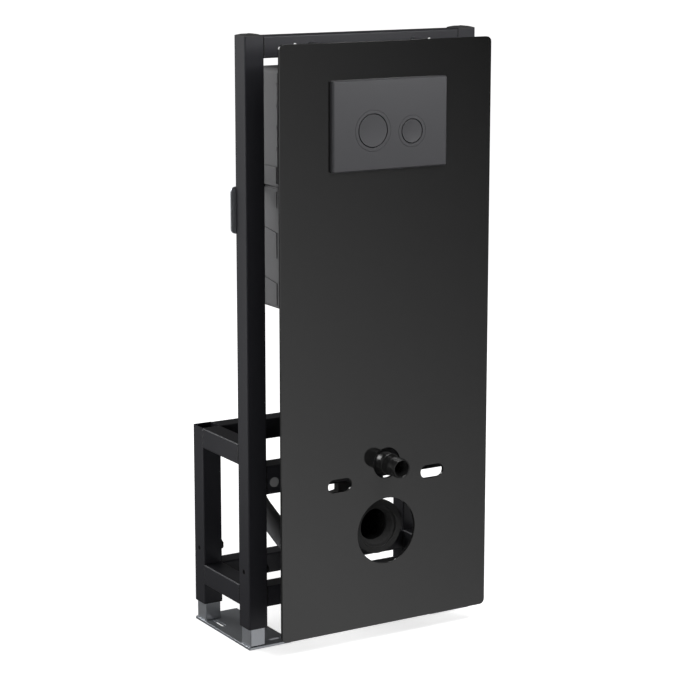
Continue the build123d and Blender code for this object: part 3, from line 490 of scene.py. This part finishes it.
# %% A tree for rows of rings
def add_input(tree, label, kind, value=None):
    """Adds an input to a tree and gives the identifier that a modifier sets it by."""
    socket = tree.interface.new_socket(label, in_out="INPUT", socket_type=kind)
    if value is not None:
        socket.default_value = value
    return socket.identifier


def ring_row_tree():
    """A tree that sets out rings on a line, each a little smaller where Shrink isn't 0."""
    tree = bpy.data.node_groups.new("ring_row", "GeometryNodeTree")
    names = {"Geometry": add_input(tree, "Geometry", "NodeSocketGeometry"),
             "Count": add_input(tree, "Count", "NodeSocketInt", 4),
             "Spacing": add_input(tree, "Spacing", "NodeSocketFloat", 3 * MM),
             "Ring Radius": add_input(tree, "Ring Radius", "NodeSocketFloat", 22 * MM),
             "Rib Radius": add_input(tree, "Rib Radius", "NodeSocketFloat", 0.6 * MM),
             "Shrink": add_input(tree, "Shrink", "NodeSocketFloat", 0.0),
             "Finish": add_input(tree, "Finish", "NodeSocketMaterial")}
    tree.interface.new_socket("Geometry", in_out="OUTPUT", socket_type="NodeSocketGeometry")
    given = tree.nodes.new("NodeGroupInput")
    result = tree.nodes.new("NodeGroupOutput")
    ring = tree.nodes.new("GeometryNodeCurvePrimitiveCircle")
    ring.inputs["Resolution"].default_value = 96
    rib = tree.nodes.new("GeometryNodeCurvePrimitiveCircle")
    rib.inputs["Resolution"].default_value = 10
    tube = tree.nodes.new("GeometryNodeCurveToMesh")
    line = tree.nodes.new("GeometryNodeMeshLine")
    offset = tree.nodes.new("ShaderNodeCombineXYZ")
    number = tree.nodes.new("GeometryNodeInputIndex")
    sizes = []
    for operation in ("DIVIDE", "MULTIPLY", "SUBTRACT"):
        sizes.append(tree.nodes.new("ShaderNodeMath"))
        sizes[-1].operation = operation
    share, lost, left = sizes
    left.inputs[0].default_value = 1.0
    tree.links.new(given.outputs["Shrink"], share.inputs[0])
    tree.links.new(given.outputs["Ring Radius"], share.inputs[1])
    tree.links.new(share.outputs["Value"], lost.inputs[0])
    tree.links.new(number.outputs["Index"], lost.inputs[1])
    tree.links.new(lost.outputs["Value"], left.inputs[1])
    copies = tree.nodes.new("GeometryNodeInstanceOnPoints")
    tree.links.new(left.outputs["Value"], copies.inputs["Scale"])
    real = tree.nodes.new("GeometryNodeRealizeInstances")
    smooth = tree.nodes.new("GeometryNodeSetShadeSmooth")
    paint = tree.nodes.new("GeometryNodeSetMaterial")
    wire(tree, (given, "Ring Radius"), (ring, "Radius"), (given, "Rib Radius"), (rib, "Radius"),
         (ring, "Curve"), (tube, "Curve"), (rib, "Curve"), (tube, "Profile Curve"),
         (given, "Count"), (line, "Count"), (given, "Spacing"), (offset, "Z"),
         (offset, "Vector"), (line, "Offset"), (line, "Mesh"), (copies, "Points"),
         (tube, "Mesh"), (copies, "Instance"), (copies, "Instances"), (real, "Geometry"),
         (real, "Geometry"), (smooth, "Geometry"), (smooth, "Geometry"), (paint, "Geometry"),
         (given, "Finish"), (paint, "Material"), (paint, "Geometry"), (result, "Geometry"))
    return tree, names


def grown(name, mesh, tree, names, values, place, body):
    """Runs a tree on a mesh, turns the result into a plain mesh and places it."""
    piece = bpy.data.objects.new(name, mesh)
    bpy.context.scene.collection.objects.link(piece)
    maker = piece.modifiers.new("maker", "NODES")
    maker.node_group = tree
    for label, value in values.items():
        maker[names[label]] = value
    made = baked_mesh(piece)
    piece.modifiers.clear()
    made.transform(place)
    made.name = name
    if piece.type == "MESH":
        piece.data = made
    else:
        bpy.data.objects.remove(piece)
        piece = bpy.data.objects.new(name, made)
        bpy.context.scene.collection.objects.link(piece)
    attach(piece, body)
    print(name, len(made.polygons), "faces")


ring_tree, ring_names = ring_row_tree()

# %% [markdown]
# The connector's ribs lie just behind its front end, and its mouth and its sleeve have one ring
# each. A row grows along Z, so a quarter turn about X lays it along the pipe.

# %% Sealing ribs on the flush connector
pipe_low, pipe_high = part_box("flush_connector")
pipe_mid = (pipe_low + pipe_high) / 2
TURN_BACK = Matrix.Rotation(radians(-90), 4, "X")


def ring_row(name, count, spacing, radius, rib, y_start, z, body, slot, shrink=0.0):
    """Rings about a line along Y at height z, the first one at y_start."""
    values = {"Count": count, "Spacing": spacing, "Ring Radius": radius, "Rib Radius": rib,
              "Shrink": shrink, "Finish": bpy.data.materials[slot]}
    place = Matrix.Translation((0.0, y_start, z)) @ TURN_BACK
    grown(name, bpy.data.meshes.new(name), ring_tree, ring_names, values, place, body)


ONE_RING = (1, 1 * MM)
for name, row, radius, rib, start in (
        ("connector_ribs", (6, 3.4 * MM), 17.2 * MM, 1.5 * MM, 4.0 * MM),
        ("connector_mouth", ONE_RING, 16.5 * MM, 1.5 * MM, 0.6 * MM),
        ("sleeve_lip", ONE_RING, 19.6 * MM, 1.6 * MM, 39.2 * MM)):
    ring_row(name, *row, radius, rib, pipe_low.y + start, pipe_mid.z, "frame", "flush_plastic")

# %% [markdown]
# The collar grips the toilet's outlet with rubber ridges inside its bore. They are fine enough
# to look like a thread, and their lower halves catch the light.

# %% Ridges inside the waste collar
collar_low, collar_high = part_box("waste_collar")
collar_z = (collar_low.z + collar_high.z) / 2
MOUTH, LIP_START, LIP_FALL = 41.3 * MM, 36.0 * MM, 6.0 / 14.0
RIDGE_STEP = 2.6 * MM
ring_row("collar_ridges", 4, RIDGE_STEP, LIP_START - 0.4 * MM, 0.9 * MM, collar_low.y + 7.6 * MM,
         collar_z, "frame", "seal_rubber", LIP_FALL * RIDGE_STEP)
ring_row("collar_lip", *ONE_RING, MOUTH, 1.1 * MM, collar_low.y + 0.6 * MM, collar_z,
         "frame", "seal_rubber")

# %% [markdown]
# Every joint of the frame is welded. A weld is a row of small overlapping pools of metal, so
# the tree walks round each joint's outline and drops a small ball every few millimetres, each a
# little larger or smaller, with a fixed seed. Under the powder coat only their shape shows.


# %% A tree for weld beads
def weld_tree():
    """A tree that drops a small pool of weld metal at every step along a curve."""
    tree = bpy.data.node_groups.new("weld_bead", "GeometryNodeTree")
    names = {"Geometry": add_input(tree, "Geometry", "NodeSocketGeometry"),
             "Step": add_input(tree, "Step", "NodeSocketFloat", 2.4 * MM),
             "Pool Size": add_input(tree, "Pool Size", "NodeSocketFloat", 1.9 * MM),
             "Seed": add_input(tree, "Seed", "NodeSocketInt", 7),
             "Finish": add_input(tree, "Finish", "NodeSocketMaterial")}
    tree.interface.new_socket("Geometry", in_out="OUTPUT", socket_type="NodeSocketGeometry")
    given = tree.nodes.new("NodeGroupInput")
    result = tree.nodes.new("NodeGroupOutput")
    walk = tree.nodes.new("GeometryNodeCurveToPoints")
    walk.mode = "LENGTH"
    ball = tree.nodes.new("GeometryNodeMeshUVSphere")
    ball.inputs["Segments"].default_value = 8
    ball.inputs["Rings"].default_value = 4
    wobble = tree.nodes.new("FunctionNodeRandomValue")
    wobble.inputs[2].default_value = 0.8
    wobble.inputs[3].default_value = 1.15
    copies = tree.nodes.new("GeometryNodeInstanceOnPoints")
    real = tree.nodes.new("GeometryNodeRealizeInstances")
    smooth = tree.nodes.new("GeometryNodeSetShadeSmooth")
    paint = tree.nodes.new("GeometryNodeSetMaterial")
    wire(tree, (given, "Geometry"), (walk, "Curve"), (given, "Step"), (walk, "Length"),
         (given, "Pool Size"), (ball, "Radius"), (walk, "Points"), (copies, "Points"),
         (walk, "Rotation"), (copies, "Rotation"), (ball, "Mesh"), (copies, "Instance"),
         (given, "Seed"), (wobble, "Seed"), (copies, "Instances"), (real, "Geometry"),
         (real, "Geometry"), (smooth, "Geometry"), (smooth, "Geometry"), (paint, "Geometry"),
         (given, "Finish"), (paint, "Material"), (paint, "Geometry"), (result, "Geometry"))
    tree.links.new(wobble.outputs[1], copies.inputs["Scale"])
    return tree, names


weld_nodes, weld_names = weld_tree()


def joint_curve(name, outlines):
    """A curve with one closed run of points for each joint's outline."""
    curve = bpy.data.curves.new(name, "CURVE")
    curve.dimensions = "3D"
    for points in outlines:
        run = curve.splines.new("POLY")
        run.points.add(len(points) - 1)
        for knot, point in zip(run.points, points):
            knot.co = (*point, 1.0)
        run.use_cyclic_u = True
    return curve


CORNER_STEPS = 3


def outline(middle, first, second, across, up, corner=3.0 * MM):
    """A rounded rectangle about a point, spanned by two directions."""
    points = []
    for turn, (a, b) in enumerate(((1, 1), (-1, 1), (-1, -1), (1, -1))):
        for step in range(CORNER_STEPS + 1):
            angle = pi / 2 * turn + pi / 2 * step / CORNER_STEPS
            reach_a = a * (across - corner) + corner * cos(angle)
            reach_b = b * (up - corner) + corner * sin(angle)
            points.append(middle + first * reach_a + second * reach_b)
    return points


# %% [markdown]
# The outlines come from the boxes of the bars themselves, so a weld always sits where a bar
# meets an upright. It is drawn a millimetre inside the bar's faces and stands just proud of them.

# %% Welds of the frame
X, Y, Z = Vector((1, 0, 0)), Vector((0, 1, 0)), Vector((0, 0, 1))
SINK = 1.0 * MM
outlines = []
for name in ("top_crossbar", "mid_crossbar", "lower_front_crossbar", "rear_top_crossbar",
             "rear_lower_crossbar"):
    low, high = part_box(name)
    middle, half = (low + high) / 2, (high - low) / 2
    for x in (low.x, high.x):
        end = Vector((x, middle.y, middle.z))
        outlines.append(outline(end, Y, Z, half.y - SINK, half.z - SINK))
for side in ("left", "right"):
    for name in ("_upper_arm", "_lower_arm"):
        low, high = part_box(side + name)
        middle, half = (low + high) / 2, (high - low) / 2
        for y in (low.y, high.y):
            end = Vector((middle.x, y, middle.z))
            outlines.append(outline(end, X, Z, half.x - SINK, half.z - SINK))
weld_values = {"Step": 2.4 * MM, "Pool Size": 1.6 * MM, "Seed": 7, "Finish": frame_steel}
grown("frame_welds", joint_curve("frame_welds", outlines), weld_nodes, weld_names, weld_values,
      Matrix.Identity(4), "frame")

# %% [markdown]
# The foot tubes are welded to the base plates. Those welds move with the feet, so each side has
# a piece of its own.

# %% Welds of the feet
for side in ("left", "right"):
    outlines = []
    for name in ("_front_foot", "_rear_foot"):
        low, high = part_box(side + name)
        middle, half = (low + high) / 2, (high - low) / 2
        outlines.append(outline(Vector((middle.x, middle.y, low.z)), X, Y, half.x, half.y))
    name, values = side + "_foot_welds", dict(weld_values, Finish=galvanised, Seed=11)
    grown(name, joint_curve(name, outlines), weld_nodes, weld_names, values, Matrix.Identity(4),
          side + "_foot")

# %% [markdown]
# The object stands on a wide sheet of pale paper, which keeps its shadow. For the camera the
# paper also glows, more with the distance from the middle, so that away from the shadow it reads
# as white. Mirror-like rays pass through it to the world, where the studio's reflections are made
# in one place.

# %% Floor
REACH = 30.0
floor_mesh = bpy.data.meshes.new("floor")
corners = [(x * REACH, y * REACH, 0) for x, y in ((-1, -1), (1, -1), (1, 1), (-1, 1))]
floor_mesh.from_pydata(corners, [], [(0, 1, 2, 3)])
floor = bpy.data.objects.new("floor", floor_mesh)
bpy.context.scene.collection.objects.link(floor)
floor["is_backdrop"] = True
paper, tree, shader = new_material("studio_paper")
shader.inputs["Base Color"].default_value = (0.8, 0.8, 0.8, 1.0)
shader.inputs["Roughness"].default_value = 0.9
shader.inputs["Specular IOR Level"].default_value = 0.0
shader.inputs["Emission Color"].default_value = (1, 1, 1, 1)
rays = tree.nodes.new("ShaderNodeLightPath")
where = tree.nodes.new("ShaderNodeTexCoord")
far = tree.nodes.new("ShaderNodeVectorMath")
far.operation = "LENGTH"
NEAR, FAR, GLOW_NEAR, GLOW_FAR = 0.4, 2.2, 0.72, 1.0
whiter = ramp_between(tree, NEAR, FAR, GLOW_NEAR, GLOW_FAR)
glow = tree.nodes.new("ShaderNodeMath")
glow.operation = "MULTIPLY"
open_way = tree.nodes.new("ShaderNodeBsdfTransparent")
either = tree.nodes.new("ShaderNodeMixShader")
tree.links.new(rays.outputs["Is Camera Ray"], glow.inputs[0])
tree.links.new(whiter.outputs["Result"], glow.inputs[1])
wire(tree, (where, "Object"), (far, "Vector"), (far, "Value"), (whiter, "Value"),
     (glow, "Value"), (shader, "Emission Strength"), (rays, "Is Glossy Ray"), (either, 0))
tree.links.new(shader.outputs["BSDF"], either.inputs[1])
tree.links.new(open_way.outputs["BSDF"], either.inputs[2])
tree.links.new(either.outputs["Shader"], tree.nodes["Material Output"].inputs["Surface"])
floor_mesh.materials.append(paper)
print("floor is", 2 * REACH, "m wide")

# %% [markdown]
# Black glass is a mirror, so what the studio looks like matters more than its lamps. Low on the
# right in front stands a bright screen, which exists only as a direction of the world. It fades
# toward the right and toward the horizon, and that fade is the tone the panel shows from its
# lower left to its upper right corner. The rest is dim, and the camera itself sees plain white.

# %% World
DIM_LEVEL, SCREEN_LEVEL = 0.08, 1.15
SCREEN_WAY, SCREEN_EDGE = Vector((0.52, -0.83, -0.20)), (0.92, 0.975)
FADE_WAY, FADE_ENDS = (-4.5, 0.0, -3.2), (-2.42, -1.17)
world = bpy.data.worlds.new("studio")
bpy.context.scene.world = world
world.use_nodes = True
tree = world.node_tree
sky = tree.nodes["Background"]
sky.inputs["Color"].default_value = (1.0, 1.0, 1.0, 1.0)
view_way = tree.nodes.new("ShaderNodeTexCoord")
fade = tree.nodes.new("ShaderNodeVectorMath")
fade.operation = "DOT_PRODUCT"
fade.inputs[1].default_value = FADE_WAY
level = ramp_between(tree, *FADE_ENDS, 0.0, SCREEN_LEVEL)
near = tree.nodes.new("ShaderNodeVectorMath")
near.operation = "DOT_PRODUCT"
near.inputs[1].default_value = SCREEN_WAY.normalized()
screen = ramp_between(tree, *SCREEN_EDGE)
studio = tree.nodes.new("ShaderNodeMix")
studio.inputs["A"].default_value = DIM_LEVEL
rays = tree.nodes.new("ShaderNodeLightPath")
white = tree.nodes.new("ShaderNodeMix")
white.inputs["B"].default_value = 1.0
wire(tree, (view_way, "Generated"), (fade, 0), (fade, "Value"), (level, "Value"),
     (view_way, "Generated"), (near, 0), (near, "Value"), (screen, "Value"),
     (screen, "Result"), (studio, "Factor"), (rays, "Is Camera Ray"), (white, "Factor"))
tree.links.new(level.outputs["Result"], studio.inputs["B"])
tree.links.new(studio.outputs["Result"], white.inputs["A"])
tree.links.new(white.outputs["Result"], sky.inputs["Strength"])
print("world has", len(tree.nodes), "nodes")

# %% [markdown]
# Soft lamps bring the object to a plain level: one above the front, two on the left, of which the
# lower reaches the pipes behind the panel, and one behind, so that the back can be seen too. A
# narrow upright one close on the left brightens the sides of the posts toward the top. A small one
# near the flush plate gives its satin face a soft patch, and a small hard one puts the glints on
# rounded edges. The lower left lamp isn't mirrored, because the glass would show it as a white
# square from the right.


# %% Lamps
def soft_lamp(name, place, target, size, power, mirrored=True):
    """A rectangular lamp at a place in metres that looks at a target."""
    lamp = bpy.data.lights.new(name, "AREA")
    lamp.shape = "RECTANGLE"
    lamp.size, lamp.size_y = size
    lamp.energy = power
    holder = bpy.data.objects.new(name, lamp)
    holder.location = place
    holder.rotation_mode = "QUATERNION"
    holder.rotation_quaternion = (Vector(target) - Vector(place)).to_track_quat("-Z", "Y")
    holder.visible_camera = False
    holder.visible_glossy = mirrored
    bpy.context.scene.collection.objects.link(holder)
    print(name, power, "W")


soft_lamp("front_top_light", (0.4, -1.9, 2.9), (0.0, -0.1, 0.9), (1.8, 1.2), 38.0)
soft_lamp("plate_light", (0.50, -0.96, 1.30), (0.0, -0.137, 1.0), (0.22, 0.25), 2.9)
soft_lamp("glint_light", (0.35, -2.0, 2.2), (0.0, -0.1, 0.5), (0.3, 0.3), 18.0)
soft_lamp("left_light", (-3.0, 0.1, 1.0), (0.0, 0.1, 0.6), (1.2, 1.8), 19.0)
soft_lamp("left_strip", (-0.92, 0.52, 0.70), (-0.25, -0.02, 0.65), (0.5, 1.3), 2.5)
soft_lamp("low_left_light", (-2.2, -1.6, 0.6), (-0.1, 0.0, 0.3), (0.8, 0.8), 22.0,
          mirrored=False)
soft_lamp("back_light", (-1.6, 2.8, 2.2), (0.0, 0.1, 0.6), (1.6, 1.6), 45.0)

# %% [markdown]
# The camera stands to the left of the object and looks slightly down. Its place was recovered
# from the straight edges in the photo, so the render lines up with it.

# %% Camera
CAMERA_PLACE, DOWN, RIGHT = (-2.1192, -3.4631, 1.4060), 11.148, 31.141
camera = bpy.data.cameras.new("camera")
camera.lens = 114.98
camera.sensor_width = 36.0
camera.shift_y = -0.03
camera.clip_end = 100.0
holder = bpy.data.objects.new("camera", camera)
bpy.context.scene.collection.objects.link(holder)
holder.location = CAMERA_PLACE
holder.rotation_euler = (radians(90 - DOWN), 0.0, radians(-RIGHT))
bpy.context.scene.camera = holder
bpy.context.scene.view_settings.view_transform = "Standard"
print("lens", camera.lens, "mm")

# %% The bounds of what is drawn
bpy.context.view_layer.update()
low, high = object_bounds()
